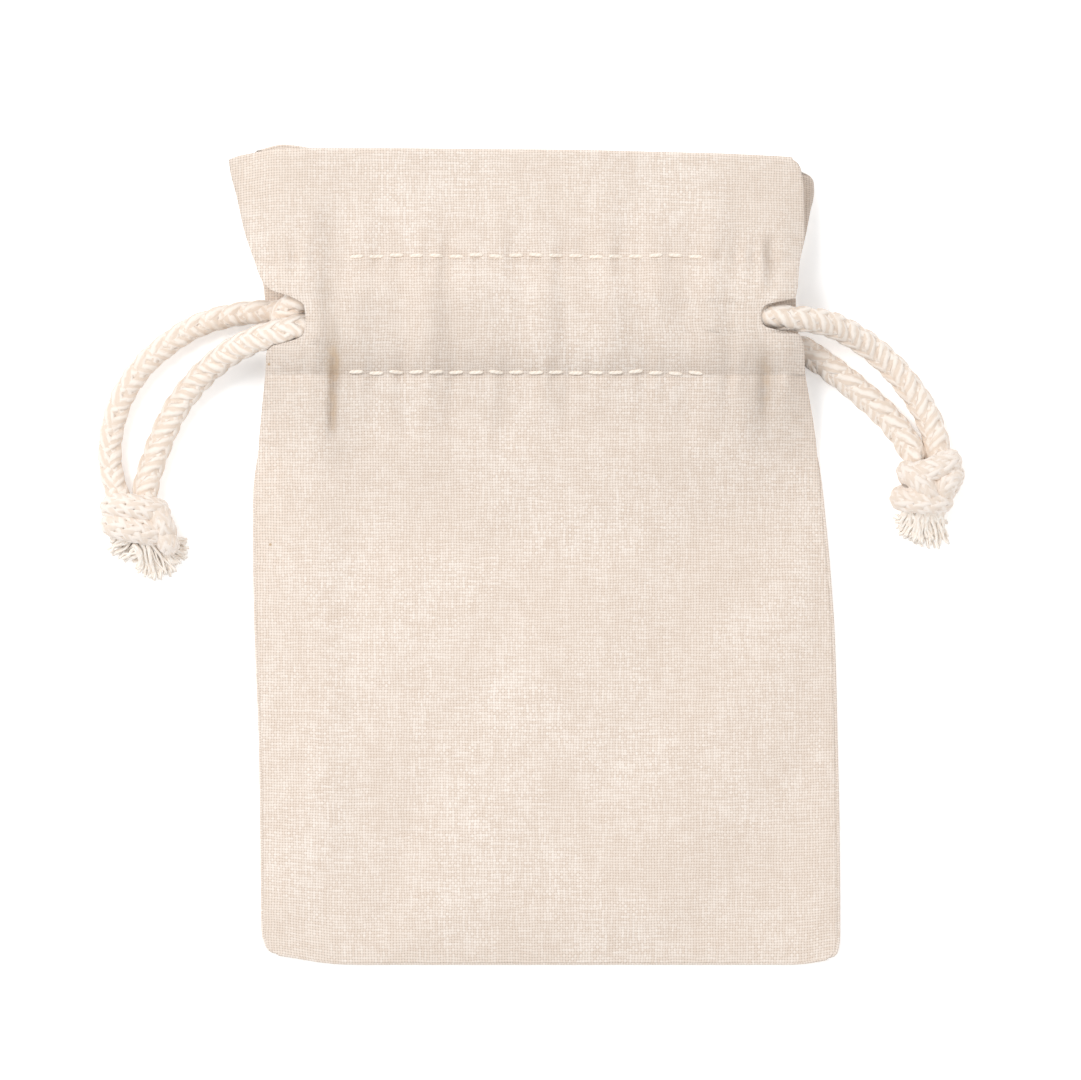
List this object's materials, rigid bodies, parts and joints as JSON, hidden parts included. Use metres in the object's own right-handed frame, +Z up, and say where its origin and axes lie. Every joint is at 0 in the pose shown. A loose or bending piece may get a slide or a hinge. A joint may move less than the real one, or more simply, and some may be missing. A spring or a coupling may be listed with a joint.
{
  "type": "drawstring gift sack",
  "caption": "Small plain cotton gift sack lying flat, with a stitched drawstring channel below a ruffled mouth and braided cords ending in knotted, frayed tassels at both sides.",
  "frame": {"origin": "on the surface that the sack lies on, under the middle of the sack without its free cord tails", "axes": "+Z up out of the front face, +Y towards the mouth, +X to the right as the front is seen"},
  "size_m": [0.148, 0.141, 0.0164],
  "materials": {
    "sack_cotton": "plain woven natural cotton",
    "hem_cotton": "plain woven natural cotton",
    "thread": "natural cotton yarn",
    "cord_cotton": "natural cotton yarn",
    "knot_cotton": "plain woven natural cotton",
    "tassel_cotton": "plain woven natural cotton"
  },
  "bodies": {
    "sack": {"back_panel": "sack_cotton", "front_panel": "sack_cotton", "bottom_fold": "sack_cotton", "left_side_seam": "sack_cotton", "right_side_seam": "sack_cotton", "back_neck": "sack_cotton", "front_neck": "sack_cotton", "back_hem": "hem_cotton", "front_hem": "hem_cotton", "back_left_vent_hem": "hem_cotton", "back_right_vent_hem": "hem_cotton", "front_left_vent_hem": "hem_cotton", "front_right_vent_hem": "hem_cotton", "front_upper_stitches": "thread", "front_lower_stitches": "thread", "back_upper_stitches": "thread", "back_lower_stitches": "thread"},
    "left_drawstring": {"left_cord_front_run": "cord_cotton", "left_cord_back_run": "cord_cotton", "left_cord_return": "cord_cotton"},
    "left_tails": {"left_front_tail": "cord_cotton", "left_back_tail": "cord_cotton", "left_knot": "knot_cotton", "left_tassel": "tassel_cotton"},
    "right_drawstring": {"right_cord_front_run": "cord_cotton", "right_cord_back_run": "cord_cotton", "right_cord_return": "cord_cotton"},
    "right_tails": {"right_front_tail": "cord_cotton", "right_back_tail": "cord_cotton", "right_knot": "knot_cotton", "right_tassel": "tassel_cotton"}
  },
  "joints": [
    {"name": "left_draw", "type": "slide", "parent": "sack", "child": "left_drawstring", "axis": [-1, 0, 0], "range_m": [-0.003, 0.025], "deforming": ["back_neck", "front_neck", "back_hem", "front_hem", "front_upper_stitches", "front_lower_stitches", "back_upper_stitches", "back_lower_stitches"]},
    {"name": "right_draw", "type": "slide", "parent": "sack", "child": "right_drawstring", "axis": [1, 0, 0], "range_m": [-0.003, 0.025], "deforming": ["back_neck", "front_neck", "back_hem", "front_hem", "front_upper_stitches", "front_lower_stitches", "back_upper_stitches", "back_lower_stitches"]},
    {"name": "left_tails_swing", "type": "hinge", "parent": "left_drawstring", "child": "left_tails", "pos_m": [-0.046, 0.041, 0.0033], "axis": [0, 0, 1], "range_deg": [-70, 0], "deforming": ["left_front_tail", "left_back_tail"]},
    {"name": "right_tails_swing", "type": "hinge", "parent": "right_drawstring", "child": "right_tails", "pos_m": [0.044, 0.038, 0.0033], "axis": [0, 0, 1], "range_deg": [0, 70], "deforming": ["right_front_tail", "right_back_tail"]}
  ]
}
